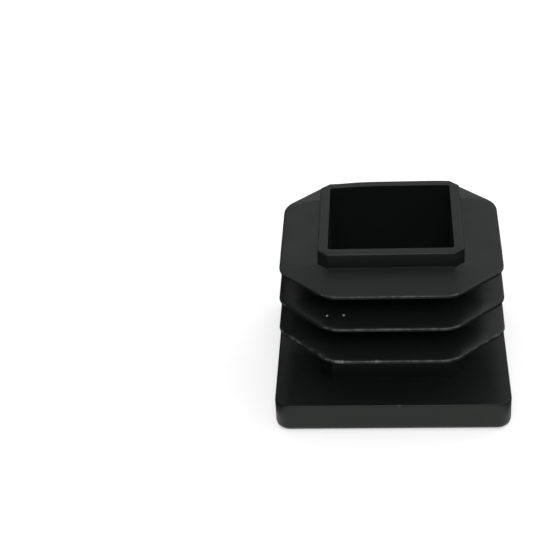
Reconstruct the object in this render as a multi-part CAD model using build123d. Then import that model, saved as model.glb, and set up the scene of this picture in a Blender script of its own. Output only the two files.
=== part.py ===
from build123d import *
from math import radians, tan
import os

# End cap for a square tube, one injection moulding. The square head covers the tube's
# end, and three sloping fins on a hollow neck grip the tube's inner walls.
# Millimetres, +Z up. The cap stands on its head: the origin is the centre of the
# head's outer face, and the neck's open end points up.

# Head
head_side = 40.0
head_thickness = 5.4
head_corner_radius = 2.5
head_face_round = 1.1          # round between the outer face and the four sides

# Neck, drafted so that it narrows towards its rim
neck_length = 25.2             # from the head's inner face to the rim
neck_rim_side = 24.2
neck_rim_bevel = 1.5           # leg of the 45 degree corner bevels, at the rim
neck_draft = 0.7               # degrees, each side
neck_wall = 1.7                # at the rim
rim_round = 0.5

# Pocket in the neck, drafted the other way so that the core pulls out
pocket_draft = 0.5             # degrees, each side
pocket_corner_radius = 0.5
floor_thickness = 2.5          # plastic left between the pocket and the outer face

# Fins: eight facets slope down and outwards from the neck to a thin upright edge, which
# stays level all round. The corner facets are the shorter and steeper ones.
fin_count = 3
fin_pitch = 6.25
top_fin_drop = 4.1             # from the rim down to the top fin's edge
top_fin_side = 37.4
bottom_fin_side = 38.5         # widest next to the head, so the last fin grips hardest
top_fin_bevel = 8.0            # leg of the 45 degree corner bevels
bottom_fin_bevel = 8.8
fin_vertex_radius = 4.5        # rounds the eight corners of each outline
fin_rise = 1.4                 # how much higher the root stands than the edge
fin_edge_thickness = 0.4
fin_root_thickness = 1.2
fin_overrun = 1.5              # how far the facets are drawn for cutting, as a share of their run

rim_z = head_thickness + neck_length
pocket_rim_side = neck_rim_side - 2 * neck_wall


def drafted_side(rim_side, draft, z):
    """Width at height z of a square form that is rim_side wide at the rim."""
    return rim_side + 2 * (rim_z - z) * tan(radians(draft))


def bevelled_square(side, leg, z):
    """Square face at height z whose corners are cut at 45 degrees."""
    square = Rectangle(side, side)
    return Pos(Z=z) * chamfer(square.vertices(), leg)


def neck_section(z):
    """Width of the neck at height z, and the leg of its corner bevels."""
    side = drafted_side(neck_rim_side, neck_draft, z)
    return side, neck_rim_bevel + side - neck_rim_side


def neck_outline(z):
    return bevelled_square(*neck_section(z), z)


def make_head():
    plate = extrude(RectangleRounded(head_side, head_side, head_corner_radius), head_thickness)
    return fillet(plate.faces().sort_by(Axis.Z)[0].edges(), head_face_round)


def make_neck():
    neck = loft([neck_outline(head_thickness), neck_outline(rim_z)], ruled=True)
    return fillet(neck.faces().sort_by(Axis.Z)[-1].edges(), rim_round)


def make_pocket():
    def section(z):
        side = drafted_side(pocket_rim_side, -pocket_draft, z)
        return Pos(Z=z) * RectangleRounded(side, side, pocket_corner_radius)

    return loft([section(floor_thickness), section(rim_z)], ruled=True)


def make_slopes(side, bevel, root_z, edge_z):
    """Block whose eight facets run from the neck's outline through the fin's outline and past it."""
    root_side, root_bevel = neck_section(root_z)
    foot_side = root_side + fin_overrun * (side - root_side)
    foot_bevel = root_bevel + fin_overrun * (bevel - root_bevel)
    foot_z = root_z - fin_overrun * (root_z - edge_z)
    return loft([bevelled_square(foot_side, foot_bevel, foot_z), neck_outline(root_z)], ruled=True)


def make_fin(side, bevel, edge_z):
    """Eight-sided fin with a thin upright edge, its outline rounded at the corners."""
    root_z = edge_z + fin_rise
    under_edge_z = edge_z - fin_edge_thickness
    under_root_z = root_z - fin_root_thickness
    outline = bevelled_square(side, bevel, under_edge_z)
    outline = fillet(outline.vertices(), fin_vertex_radius)
    blank = extrude(outline, root_z - under_edge_z)
    underside = make_slopes(side, bevel, under_root_z, under_edge_z)
    return blank & make_slopes(side, bevel, root_z, edge_z) - underside


def make_fins():
    fins = []
    for i in range(fin_count):
        share = i / max(fin_count - 1, 1)
        side = top_fin_side + share * (bottom_fin_side - top_fin_side)
        bevel = top_fin_bevel + share * (bottom_fin_bevel - top_fin_bevel)
        fins.append(make_fin(side, bevel, rim_z - top_fin_drop - i * fin_pitch))
    return fins


end_cap = make_head() + make_neck() + make_fins() - make_pocket()

os.makedirs("parts", exist_ok=True)
export_step(end_cap, "parts/end_cap.step")
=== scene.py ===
from math import atan2, degrees, exp, log, radians, tan

import bmesh
import bpy
from mathutils import Matrix, Vector


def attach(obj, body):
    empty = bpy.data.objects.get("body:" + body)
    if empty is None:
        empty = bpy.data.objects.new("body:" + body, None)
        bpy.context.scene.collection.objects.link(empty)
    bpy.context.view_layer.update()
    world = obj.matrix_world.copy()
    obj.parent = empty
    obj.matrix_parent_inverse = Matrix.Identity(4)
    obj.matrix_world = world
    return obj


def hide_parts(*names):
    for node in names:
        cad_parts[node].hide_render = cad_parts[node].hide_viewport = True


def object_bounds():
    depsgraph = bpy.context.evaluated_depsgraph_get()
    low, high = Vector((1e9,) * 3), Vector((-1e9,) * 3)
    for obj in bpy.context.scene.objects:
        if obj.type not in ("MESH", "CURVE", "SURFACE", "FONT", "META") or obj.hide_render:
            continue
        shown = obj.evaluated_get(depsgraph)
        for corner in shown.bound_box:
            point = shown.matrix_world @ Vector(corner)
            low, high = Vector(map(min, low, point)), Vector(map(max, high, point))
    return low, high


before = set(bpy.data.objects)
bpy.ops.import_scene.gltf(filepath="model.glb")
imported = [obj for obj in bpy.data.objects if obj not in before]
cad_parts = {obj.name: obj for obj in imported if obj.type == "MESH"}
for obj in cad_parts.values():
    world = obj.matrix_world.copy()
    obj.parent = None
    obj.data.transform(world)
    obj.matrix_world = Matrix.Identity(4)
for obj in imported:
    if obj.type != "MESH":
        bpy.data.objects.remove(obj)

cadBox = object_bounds()
mm = 0.001
cornerReach = tan(radians(22.5))    # a round of radius 1 starts this far from a corner that turns 45 degrees


def toLinear(hexColour):
    # sRGB hex to the linear values that shaders use
    values = []
    for i in (0, 2, 4):
        c = int(hexColour.lstrip("#")[i:i + 2], 16) / 255
        values.append(c / 12.92 if c <= 0.04045 else ((c + 0.055) / 1.055) ** 2.4)
    return (*values, 1.0)


def addNode(tree, kind, settings=None, inputs=None):
    # settings are the node's own properties; an input is a value or another node's socket
    node = tree.nodes.new(kind)
    for name, value in (settings or {}).items():
        setattr(node, name, value)
    for name, value in (inputs or {}).items():
        if isinstance(value, bpy.types.NodeSocket):
            tree.links.new(value, node.inputs[name])
        else:
            node.inputs[name].default_value = value
    return node


def newTree(name):
    material = bpy.data.materials.new(name)
    material.use_nodes = True
    material.node_tree.nodes.clear()
    return material, material.node_tree


ldpe = {
    "colour": "#1b1e1d",
    # the pale edge colour and its roughness paint a highlight along the fins' upper edges, with some wear
    "highlightAndWearColour": "#5a5d5b",
    "roughness": 0.36,
    "highlightAndWearRoughness": 0.5,
    "specular": 0.28,           # soft plastic with a dulled skin shines less than a polished one
    "shine": "#f9fff8",         # the tint of what it reflects
    "ior": 1.51,
    "grainSize": 0.35,          # mm; the real mould grain is about 0.05 mm, too fine to show
    "grainDepth": 0.012,        # mm
    "grainDetail": 3.0,
    "grainRoughness": 0.6,
    "grainStrength": 0.5,
    "mottleSize": 5.0,          # mm, slow changes of gloss over the skin
    "mottleDetail": 4.0,
    "mottleRoughness": 0.55,
    "mottleRange": (0.3, 0.7),  # the noise levels where the skin is glossiest and dullest
    "glossier": 0.05,           # how far the roughness falls there
    "duller": 0.06,             # and how far it rises
    "breakSize": 1.2,           # mm, how long the breaks in the pale edges' painted highlight and wear are
    "breakDetail": 3.0,
    "breakShare": 0.8,          # how much the breaks count beside the edge's own painted highlight and wear
    "paleRange": (0.95, 1.35),     # where the two together start to pale the skin, and where it is palest
}

# crumbs of dust on the middle fin, and painted glints: spots on the lowest fin's front edge and one on the
# head's front edge
dustAndGlints = {
    "colour": "#c9ccc6",
    "softness": 0.5,            # share of each speck's radius over which it fades
    # x, y, z and radius in mm, and how pale from 0 to 1
    "places": (
        (-10.65, -15.8, 21.05, 0.25, 0.95),
        (-7.9, -15.75, 21.05, 0.27, 1.0),
        # painted glints from here on: highlights on the lowest fin's front edge and on the head's front edge
        (-9.3, -19.2, 14.05, 0.4, 0.16),
        (-8.8, -19.2, 14.05, 0.4, 0.25),
        (-8.3, -19.2, 14.05, 0.4, 0.25),
        (-2.6, -19.2, 14.05, 0.4, 0.2),
        (1.1, -20.0, 5.3, 0.4, 0.04),
    ),
}


def dustAndGlintMask(tree, place):
    # how pale the dust and the painted glints make each place, 0 away from all of them
    mask = 0.0
    for x, y, z, radius, pale in dustAndGlints["places"]:
        away = addNode(tree, "ShaderNodeVectorMath", {"operation": "DISTANCE"}, {
            0: place, 1: (x * mm, y * mm, z * mm)}).outputs["Value"]
        near = addNode(tree, "ShaderNodeMapRange", {}, {
            "Value": away, "From Min": radius * mm, "To Max": pale,
            "From Max": radius * (1 - dustAndGlints["softness"]) * mm}).outputs["Result"]
        mask = addNode(tree, "ShaderNodeMath", {"operation": "MAXIMUM"}, {0: mask, 1: near}).outputs["Value"]
    return mask


def mouldedLdpe():
    # black low-density polyethylene as it leaves a fine-eroded mould: matte, waxy, a little uneven in gloss
    material, tree = newTree("moulded black LDPE")
    place = addNode(tree, "ShaderNodeTexCoord").outputs["Object"]
    grain = addNode(tree, "ShaderNodeTexNoise", {"noise_dimensions": "3D"}, {
        "Vector": place, "Scale": 1 / (ldpe["grainSize"] * mm), "Detail": ldpe["grainDetail"],
        "Roughness": ldpe["grainRoughness"]})
    mottle = addNode(tree, "ShaderNodeTexNoise", {"noise_dimensions": "3D"}, {
        "Vector": place, "Scale": 1 / (ldpe["mottleSize"] * mm), "Detail": ldpe["mottleDetail"],
        "Roughness": ldpe["mottleRoughness"]})
    glossiest, dullest = ldpe["mottleRange"]
    gloss = addNode(tree, "ShaderNodeMapRange", {}, {
        "Value": mottle.outputs["Fac"], "From Min": glossiest, "From Max": dullest,
        "To Min": ldpe["roughness"] - ldpe["glossier"], "To Max": ldpe["roughness"] + ldpe["duller"]})
    bump = addNode(tree, "ShaderNodeBump", {}, {
        "Strength": ldpe["grainStrength"], "Distance": ldpe["grainDepth"] * mm,
        "Height": grain.outputs["Fac"]})
    # the attribute marks the fins' thin upper edges, which are painted paler in broken lines: a painted
    # highlight of the light they catch, with some scuffing
    edge = addNode(tree, "ShaderNodeAttribute", {"attribute_name": "edgeHighlightAndWear"}).outputs["Fac"]
    breaks = addNode(tree, "ShaderNodeTexNoise", {"noise_dimensions": "3D"}, {
        "Vector": place, "Scale": 1 / (ldpe["breakSize"] * mm), "Detail": ldpe["breakDetail"]})
    broken = addNode(tree, "ShaderNodeMath", {"operation": "MULTIPLY_ADD"}, {
        0: breaks.outputs["Fac"], 1: ldpe["breakShare"], 2: edge}).outputs["Value"]
    starts, palest = ldpe["paleRange"]
    highlightAndWear = addNode(tree, "ShaderNodeMapRange", {"interpolation_type": "SMOOTHSTEP"}, {
        "Value": broken, "From Min": starts, "From Max": palest}).outputs["Result"]
    colour = addNode(tree, "ShaderNodeMix", {"data_type": "RGBA"}, {
        "Factor": highlightAndWear, 6: toLinear(ldpe["colour"]), 7: toLinear(ldpe["highlightAndWearColour"])}).outputs[2]
    # paints the dust specks and the painted glints
    colour = addNode(tree, "ShaderNodeMix", {"data_type": "RGBA"}, {
        "Factor": dustAndGlintMask(tree, place), 6: colour, 7: toLinear(dustAndGlints["colour"])}).outputs[2]
    rough = addNode(tree, "ShaderNodeMix", {"data_type": "FLOAT"}, {
        "Factor": highlightAndWear, 2: gloss.outputs["Result"], 3: ldpe["highlightAndWearRoughness"]}).outputs[0]
    skin = addNode(tree, "ShaderNodeBsdfPrincipled", {}, {
        "Base Color": colour, "IOR": ldpe["ior"], "Specular IOR Level": ldpe["specular"],
        "Specular Tint": toLinear(ldpe["shine"]), "Roughness": rough, "Normal": bump.outputs["Normal"]})
    addNode(tree, "ShaderNodeOutputMaterial", {}, {"Surface": skin.outputs["BSDF"]})
    return material


# the moulding: lengths are in mm, and z is up from the head's outer face
cap = {
    "headThickness": 5.4,
    "headCorner": 2.5,
    "headFaceRound": 1.1,
    "headSeatRound": 0.25,
    "neckRimSide": 24.2,
    "neckRimBevel": 1.5,
    "neckDraft": 0.7,                   # degrees each side
    "neckCorner": 0.25,
    "wall": 1.7,
    "rimRound": 0.35,
    "mouthRound": 0.1,
    "pocketDraft": 0.5,                 # degrees each side
    "pocketCorner": 0.5,
    "pocketFloorRound": 0.3,
    "floorThickness": 2.5,
    # each list of three goes from the top fin down
    "finSides": (37.4, 37.95, 38.5),
    "finPitch": 6.25,
    "topFinDrop": 4.1,                  # from the rim to the top fin's edge
    "finBevels": (8.0, 8.4, 8.8),
    "finCorner": 4.5,
    "finRise": 1.4,                     # from a fin's edge to its root
    "finEdge": 0.4,                     # thickness at the edge
    "finRoot": 1.2,                     # thickness at the root
    "finTopRound": 0.28,
    "finUnderRound": 0.08,
    "rootRound": 0.06,
    "footRound": 0.02,
    "creaseSoftness": 0.25,             # how far the creases between the facets are softened
    "finCrowns": (0.06, 0.2, 0.2),      # how much a side facet bulges before it curls down to its edge
    "crownPower": 6,                    # higher keeps the curl nearer the edge
    "cornerCrowns": (0.06, 0.5, 0.55),
    "cornerCrownPower": 3,
    "cornerHighlightAndWear": (0.1, 0.5, 0.72),    # the corners' share of the straight edges' painted highlight and wear
    "cornerMarkSpread": 0.85,           # share of it that the next loop inwards has
    "sideCuts": 15,
    "bevelCuts": 11,
    "arcSegments": 4,
    "roundSegments": 3,
    "finSteps": 6,
    "finStepsBunching": 1.4,            # over 1 draws the steps towards the edge
    "boxMargin": 0.00001,               # keeps rounding inside the CAD box
    # where the moulding is bent: fin from the top or "rim", x, y, how far up, over what radius
    "bends": (
        ("rim", -10.5, 12.0, -0.35, 4.0),
        ("rim", 12.0, 12.0, -0.15, 2.5),
        (0, -18.5, -10.8, -0.2, 4.0),
        (0, 18.5, -10.2, -0.4, 5.0),
        (1, 18.8, -10.2, -0.35, 5.5),
        (2, 19.0, -10.2, -0.35, 5.5),
        (2, -19.0, -10.2, 0.25, 6.0),
    ),
}
# the head's side and the rim's height are the CAD box's own
headSide = (cadBox[1][0] - cadBox[0][0]) / mm - cap["boxMargin"]
rimZ = (cadBox[1][2] - cadBox[0][2]) / mm - cap["boxMargin"]


def bevel(bm, geom, width, segments, affect):
    return bmesh.ops.bevel(bm, geom=geom, offset=width, offset_type="OFFSET", segments=segments,
                           profile=0.5, affect=affect, material=-1, clamp_overlap=False)


def straight(edges, angle):
    # the edges that run at that angle to X or Y
    found = []
    for e in edges:
        run = e.verts[1].co - e.verts[0].co
        if abs((degrees(atan2(run.y, run.x)) - angle + 45) % 90 - 45) < 1:
            found.append(e)
    return found


def makeRing(side, leg, radius, heightAt):
    # one closed loop of edges: a square with its corners cut at 45 degrees and rounded, or only
    # rounded when leg is 0; both kinds have the same number of points, so any two can be bridged
    bm = bmesh.new()
    bmesh.ops.create_grid(bm, x_segments=1, y_segments=1, size=side / 2)
    if leg:
        bevel(bm, bm.verts[:], leg, 1, "VERTICES")
        bevel(bm, bm.verts[:], radius * cornerReach, cap["arcSegments"], "VERTICES")
        bmesh.ops.subdivide_edges(bm, edges=straight(bm.edges, 45), cuts=cap["bevelCuts"])
    else:
        bevel(bm, bm.verts[:], radius, 2 * cap["arcSegments"] + cap["bevelCuts"] + 1, "VERTICES")
    fourSides = [e for e in straight(bm.edges, 0) if e.calc_length() > side / 4]
    bmesh.ops.subdivide_edges(bm, edges=fourSides, cuts=cap["sideCuts"])
    bmesh.ops.delete(bm, geom=bm.faces[:], context="FACES_ONLY")
    for v in bm.verts:
        v.co.z = heightAt(v.co.x, v.co.y)
    ring = bpy.data.meshes.new("ring")
    bm.to_mesh(ring)
    bm.free()
    return ring


def flat(z):
    return lambda x, y: z


def neckSection(z):
    side = cap["neckRimSide"] + 2 * (rimZ - z) * tan(radians(cap["neckDraft"]))
    return side, cap["neckRimBevel"] + side - cap["neckRimSide"]


def pocketSide(z):
    return cap["neckRimSide"] - 2 * cap["wall"] - 2 * (rimZ - z) * tan(radians(cap["pocketDraft"]))


def bendAt(part, x, y):
    lift = 0
    for which, bendX, bendY, height, reach in cap["bends"]:
        if which == part:
            lift += height * exp(-((x - bendX) ** 2 + (y - bendY) ** 2) / reach ** 2)
    return lift


def rimHeight(x, y):
    return rimZ + bendAt("rim", x, y)


def slopes(fin, rootZ, edgeZ):
    # eight facets fall from the neck to a level edge; the height at a place is that of the lowest
    # facet there, with the creases between them softened
    side, leg = neckSection(rootZ)
    sideRun = (cap["finSides"][fin] - side) / 2
    cornerRun = cap["finSides"][fin] - cap["finBevels"][fin] - side + leg
    drop = rootZ - edgeZ
    soft = cap["creaseSoftness"] * drop / sideRun

    def fall(share, crown, power):
        # past the root, where the share is below zero, the facet runs on straight
        out = max(share, 0)
        return drop * share - crown * out * (1 - out ** power)

    def heightAt(x, y):
        x, y = abs(x), abs(y)
        falls = [fall((across - side / 2) / sideRun, cap["finCrowns"][fin], cap["crownPower"])
                 for across in (x, y)]
        acrossCorner = (x + y - side + leg) / cornerRun
        falls.append(fall(acrossCorner, cap["cornerCrowns"][fin], cap["cornerCrownPower"]))
        return rootZ - soft * log(sum(exp(part / soft) for part in falls))
    return lambda x, y: heightAt(x, y) + bendAt(fin, x, y)


unmarked = (0, 0)     # painted highlight and wear of a loop's straights and of its corners


def finRings(fin, rootZ, edgeZ, outwards):
    # the loops of a fin's under face, outwards from its root, or of its upper face, back from its edge
    heightAt = slopes(fin, rootZ, edgeZ)
    root = (*neckSection(rootZ), cap["neckCorner"])
    edge = (cap["finSides"][fin], cap["finBevels"][fin], cap["finCorner"])
    edgeRound = cap["finUnderRound"] if outwards else cap["finTopRound"]
    last = cap["finSteps"]
    markedAt = {}
    # the edge loop and the one inside it are painted paler: a painted highlight, with some wear
    if not outwards:
        corner = cap["cornerHighlightAndWear"][fin]
        markedAt = {last: (1, corner), last - 1: (0, corner * cap["cornerMarkSpread"])}
    rings = []
    for step in range(last + 1):
        share = 1 - (1 - step / last) ** cap["finStepsBunching"]
        shape = [a + (b - a) * share for a, b in zip(root, edge)]
        roundness = {0: cap["rootRound"], last: edgeRound}.get(step, 0)
        rings.append((*shape, heightAt, roundness, markedAt.get(step, unmarked)))
    return rings if outwards else rings[::-1]


def capRings():
    # every loop of the cap from its outer face to the pocket's floor: side, leg, radius, height, round,
    # painted edge highlight and wear
    rings = [(headSide, 0, cap["headCorner"], flat(0), cap["headFaceRound"], unmarked),
             (headSide, 0, cap["headCorner"], flat(cap["headThickness"]), cap["headSeatRound"], unmarked),
             (*neckSection(cap["headThickness"]), cap["neckCorner"], flat(cap["headThickness"]),
              cap["footRound"], unmarked)]
    for fin in reversed(range(len(cap["finSides"]))):
        edgeZ = rimZ - cap["topFinDrop"] - fin * cap["finPitch"]
        rootZ = edgeZ + cap["finRise"]
        rings += finRings(fin, rootZ - cap["finRoot"], edgeZ - cap["finEdge"], True)
        rings += finRings(fin, rootZ, edgeZ, False)
    rings.append((*neckSection(rimZ), cap["neckCorner"], rimHeight, cap["rimRound"], unmarked))
    floorZ = cap["floorThickness"]
    rings.append((pocketSide(rimZ), 0, cap["pocketCorner"], rimHeight, cap["mouthRound"], unmarked))
    rings.append((pocketSide(floorZ), 0, cap["pocketCorner"], flat(floorZ), cap["pocketFloorRound"], unmarked))
    return rings


def makeCap():
    bm = bmesh.new()
    weight = bm.edges.layers.float.new("bevel_weight_edge")
    # per point, how pale the fins' edges are painted: a painted highlight with some wear
    highlightAndWearLayer = bm.verts.layers.float.new("edgeHighlightAndWear")
    widest = cap["headFaceRound"]
    loops = []
    for side, leg, radius, heightAt, roundness, highlightAndWear in capRings():
        ring = makeRing(side, leg, radius, heightAt)
        start = len(bm.edges)
        bm.from_mesh(ring)
        bpy.data.meshes.remove(ring)
        bm.edges.ensure_lookup_table()
        loops.append(bm.edges[start:])
        cornerStart = side / 2 - leg + radius * cornerReach / 2
        for e in loops[-1]:
            e[weight] = roundness / widest
            for v in e.verts:
                atCorner = min(abs(v.co.x), abs(v.co.y)) > cornerStart
                v[highlightAndWearLayer] = highlightAndWear[atCorner]
    for lower, upper in zip(loops, loops[1:]):
        bmesh.ops.bridge_loops(bm, edges=lower + upper)
    for loop in (loops[0], loops[-1]):
        bmesh.ops.contextual_create(bm, geom=loop)
    bmesh.ops.recalc_face_normals(bm, faces=bm.faces[:])
    bmesh.ops.scale(bm, vec=(mm, mm, mm), verts=bm.verts[:])
    for face in bm.faces:
        face.smooth = True
    mesh = bpy.data.meshes.new("capMoulding")
    bm.to_mesh(mesh)
    bm.free()
    piece = bpy.data.objects.new("capMoulding", mesh)
    bpy.context.scene.collection.objects.link(piece)
    rounds = piece.modifiers.new("rounds", "BEVEL")
    rounds.limit_method = "WEIGHT"
    rounds.width = widest * mm
    rounds.segments = cap["roundSegments"]
    rounds.use_clamp_overlap = False
    shading = piece.modifiers.new("shading", "WEIGHTED_NORMAL")
    shading.keep_sharp = True
    return piece


capMoulding = makeCap()
capMoulding.data.materials.append(mouldedLdpe())
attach(capMoulding, "root")
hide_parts("end_cap")
print("cap made:", len(capMoulding.data.vertices), "points before its rounds")


# a white sweep; reflections find it white only on a sheet in front of the cap, and dark elsewhere
sweep = {                       # lengths are in m
    "size": 3.0,
    "colour": "#e6e6e6",
    "seen": 0.5,                # light added to the lit sweep for the camera
    "mirrored": 0.54,           # and for reflections of the sheet
    "aside": "#303030",         # what reflections find off the sheet
    "sheetMiddle": -0.002,      # the sheet's middle along X
    "sheetHalf": 0.0235,        # from its middle to where its sides start to fade
    "sheetSideFade": 1.2,       # times as far, where they are gone
    "sheetBack": -0.02,         # along Y, its end by the cap, where it starts to fade
    "sheetBackFade": 0.4,       # times as far, where it is gone
    "sheetFront": -0.04,        # along Y, its other end, where it starts to fade
    "sheetFrontFade": 1.6,      # times as far, where only the next value of it is left
    "sheetFar": 0.45,
}


def makeFloor():
    bm = bmesh.new()
    bmesh.ops.create_grid(bm, x_segments=1, y_segments=1, size=sweep["size"] / 2)
    mesh = bpy.data.meshes.new("floor")
    bm.to_mesh(mesh)
    bm.free()
    floor = bpy.data.objects.new("floor", mesh)
    bpy.context.scene.collection.objects.link(floor)
    material, tree = newTree("white paper sweep")
    place = addNode(tree, "ShaderNodeTexCoord").outputs["Object"]
    axes = addNode(tree, "ShaderNodeSeparateXYZ", {}, {"Vector": place}).outputs
    offMiddle = addNode(tree, "ShaderNodeMath", {"operation": "SUBTRACT"}, {
        0: axes["X"], 1: sweep["sheetMiddle"]}).outputs["Value"]
    aside = addNode(tree, "ShaderNodeMath", {"operation": "ABSOLUTE"}, {0: offMiddle}).outputs["Value"]
    half, back, front = sweep["sheetHalf"], sweep["sheetBack"], sweep["sheetFront"]
    across = addNode(tree, "ShaderNodeMapRange", {"interpolation_type": "SMOOTHSTEP"}, {
        "Value": aside, "From Min": half * sweep["sheetSideFade"], "From Max": half}).outputs["Result"]
    along = addNode(tree, "ShaderNodeMapRange", {"interpolation_type": "SMOOTHSTEP"}, {
        "Value": axes["Y"], "From Min": back * sweep["sheetBackFade"], "From Max": back}).outputs["Result"]
    ahead = addNode(tree, "ShaderNodeMapRange", {"interpolation_type": "SMOOTHSTEP"}, {
        "Value": axes["Y"], "From Min": front * sweep["sheetFrontFade"], "From Max": front,
        "To Min": sweep["sheetFar"]}).outputs["Result"]
    deep = addNode(tree, "ShaderNodeMath", {"operation": "MULTIPLY"}, {0: along, 1: ahead}).outputs["Value"]
    sheet = addNode(tree, "ShaderNodeMath", {"operation": "MULTIPLY"}, {0: across, 1: deep}).outputs["Value"]
    path = addNode(tree, "ShaderNodeLightPath").outputs
    seen = addNode(tree, "ShaderNodeMath", {"operation": "MULTIPLY"}, {
        0: path["Is Camera Ray"], 1: sweep["seen"]}).outputs["Value"]
    mirrored = addNode(tree, "ShaderNodeMath", {"operation": "MULTIPLY"}, {
        0: path["Is Glossy Ray"], 1: sheet}).outputs["Value"]
    strength = addNode(tree, "ShaderNodeMath", {"operation": "MULTIPLY_ADD"}, {
        0: mirrored, 1: sweep["mirrored"], 2: seen}).outputs["Value"]
    hidden = addNode(tree, "ShaderNodeMath", {"operation": "SUBTRACT"}, {
        0: path["Is Glossy Ray"], 1: mirrored}).outputs["Value"]
    colour = addNode(tree, "ShaderNodeMix", {"data_type": "RGBA"}, {
        "Factor": hidden, 6: toLinear(sweep["colour"]), 7: toLinear(sweep["aside"])}).outputs[2]
    paper = addNode(tree, "ShaderNodeBsdfDiffuse", {}, {"Color": colour})
    glow = addNode(tree, "ShaderNodeEmission", {}, {"Strength": strength})
    both = addNode(tree, "ShaderNodeAddShader", {}, {0: paper.outputs["BSDF"], 1: glow.outputs["Emission"]})
    addNode(tree, "ShaderNodeOutputMaterial", {}, {"Surface": both.outputs["Shader"]})
    mesh.materials.append(material)


# bright overhead, behind and to the right, dark in front and low at the left, and plain white where it
# is seen
sky = {
    # stops of height, as the sine of the angle above the horizon, and how bright the sky is there
    "overhead": ((0.86, 0.0), (0.92, 1.25)),
    "behind": ((0.0, 1.3), (0.08, 1.0), (0.15, 0.05), (0.28, 0.1), (0.42, 0.83),
               (0.6, 0.77), (0.72, 0.6), (0.86, 0.6), (0.92, 0.0)),
    "right": ((0.25, 0.0), (0.45, 0.7), (0.7, 1.7), (0.86, 1.7), (0.92, 0.0)),
    "left": ((0.5, 0.0), (0.65, 1.0), (0.86, 1.0), (0.92, 0.0)),
    "sideRange": (0.3, 0.6),    # how far a direction leans to a side where its light starts and is full
}


def skyBrightness(tree, height, stops):
    highest = max(level for place, level in stops)
    node = addNode(tree, "ShaderNodeValToRGB", {}, {"Fac": height})
    elements = node.color_ramp.elements
    for i, (place, level) in enumerate(stops):
        element = elements[i] if i < 2 else elements.new(place)     # a new ramp has two
        element.position = place
        element.color = (level / highest,) * 3 + (1,)
    return addNode(tree, "ShaderNodeMath", {"operation": "MULTIPLY"}, {
        0: node.outputs["Color"], 1: highest}).outputs["Value"]


def makeSky():
    world = bpy.data.worlds.new("soft studio")
    bpy.context.scene.world = world
    world.use_nodes = True
    tree = world.node_tree
    tree.nodes.clear()
    direction = addNode(tree, "ShaderNodeTexCoord").outputs["Generated"]
    axes = addNode(tree, "ShaderNodeSeparateXYZ", {}, {"Vector": direction}).outputs
    level = skyBrightness(tree, axes["Z"], sky["overhead"])
    starts, full = sky["sideRange"]
    for axis, way, stops in (("Y", 1, sky["behind"]), ("X", 1, sky["right"]), ("X", -1, sky["left"])):
        side = addNode(tree, "ShaderNodeMapRange", {"interpolation_type": "SMOOTHSTEP"}, {
            "Value": axes[axis], "From Min": starts * way, "From Max": full * way})
        level = addNode(tree, "ShaderNodeMath", {"operation": "MULTIPLY_ADD"}, {
            0: skyBrightness(tree, axes["Z"], stops), 1: side.outputs["Result"], 2: level}).outputs["Value"]
    light = addNode(tree, "ShaderNodeBackground", {}, {"Strength": level})
    seen = addNode(tree, "ShaderNodeBackground", {}, {"Color": (1, 1, 1, 1), "Strength": 1.0})
    cameraRay = addNode(tree, "ShaderNodeLightPath").outputs["Is Camera Ray"]
    both = addNode(tree, "ShaderNodeMixShader", {}, {
        "Fac": cameraRay, 1: light.outputs["Background"], 2: seen.outputs["Background"]})
    addNode(tree, "ShaderNodeOutputWorld", {}, {"Surface": both.outputs["Shader"]})


lamp = {                        # lengths are in m
    "place": (0.0, -0.41, 0.45),
    "target": (0, 0, 0.015),
    "size": 0.3,
    "watts": 1.1,
}


def makeLamp():
    light = bpy.data.lights.new("frontLamp", "AREA")
    light.shape = "DISK"
    light.size = lamp["size"]
    light.energy = lamp["watts"]
    frontLamp = bpy.data.objects.new("frontLamp", light)
    bpy.context.scene.collection.objects.link(frontLamp)
    aim = (Vector(lamp["target"]) - Vector(lamp["place"])).to_track_quat("-Z", "Y")
    frontLamp.matrix_world = Matrix.Translation(lamp["place"]) @ aim.to_matrix().to_4x4()


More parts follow.
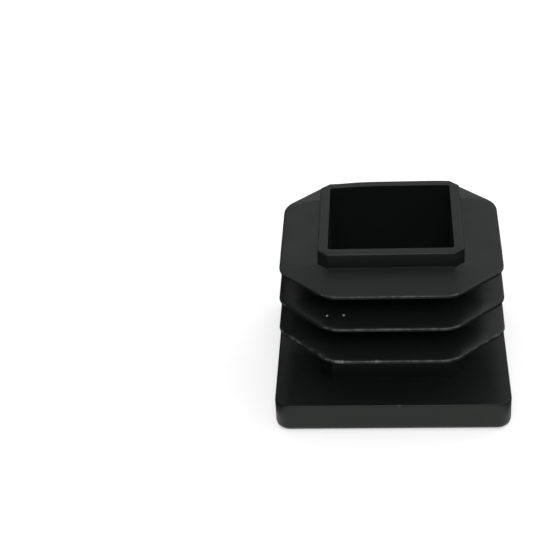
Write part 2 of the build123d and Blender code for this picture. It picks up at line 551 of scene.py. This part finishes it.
# a dark card to the left that only reflections find, so it dims the low left side's shine
darkCard = {
    "place": (-0.0235, 0.0, 0.0155),    # m, its middle
    "size": (0.06, 0.031),              # m, along Y and Z
    "colour": "#484848",
}


def makeFlag():
    bm = bmesh.new()
    bmesh.ops.create_grid(bm, x_segments=1, y_segments=1, size=0.5)     # half of 1 m, scaled below
    bmesh.ops.rotate(bm, verts=bm.verts[:], matrix=Matrix.Rotation(radians(90), 3, "Y"))
    bmesh.ops.scale(bm, vec=(1, *darkCard["size"]), verts=bm.verts[:])
    bmesh.ops.translate(bm, vec=darkCard["place"], verts=bm.verts[:])
    mesh = bpy.data.meshes.new("darkFlag")
    bm.to_mesh(mesh)
    bm.free()
    flag = bpy.data.objects.new("darkFlag", mesh)
    bpy.context.scene.collection.objects.link(flag)
    flag.visible_camera = flag.visible_diffuse = flag.visible_shadow = False
    material, tree = newTree("dark card")
    card = addNode(tree, "ShaderNodeBsdfDiffuse", {}, {"Color": toLinear(darkCard["colour"])})
    addNode(tree, "ShaderNodeOutputMaterial", {}, {"Surface": card.outputs["BSDF"]})
    mesh.materials.append(material)


makeFloor()
makeFlag()
makeSky()
makeLamp()

shot = {
    "place": (-0.00060, -0.22947, 0.16748),     # m, in the cap's frame
    "azimuth": -5.033,                          # degrees; 0 looks along +Y, positive turns to +X
    "elevation": 32.683,                        # degrees, looking down
    "roll": -3.541,                             # degrees
    "lens": 103.78,                             # mm
    "sensor": 36,                               # mm wide
    "clip": (0.01, 10),                         # m
}


def makeCamera():
    camera = bpy.data.cameras.new("camera")
    camera.lens = shot["lens"]
    camera.sensor_width = shot["sensor"]
    camera.clip_start, camera.clip_end = shot["clip"]
    view = bpy.data.objects.new("camera", camera)
    bpy.context.scene.collection.objects.link(view)
    turn = (Matrix.Rotation(radians(-shot["azimuth"]), 4, "Z")
            @ Matrix.Rotation(radians(90 - shot["elevation"]), 4, "X")
            @ Matrix.Rotation(radians(shot["roll"]), 4, "Z"))
    view.matrix_world = Matrix.Translation(shot["place"]) @ turn
    bpy.context.scene.camera = view


makeCamera()
bpy.context.scene.view_settings.view_transform = "Standard"
print("studio ready")
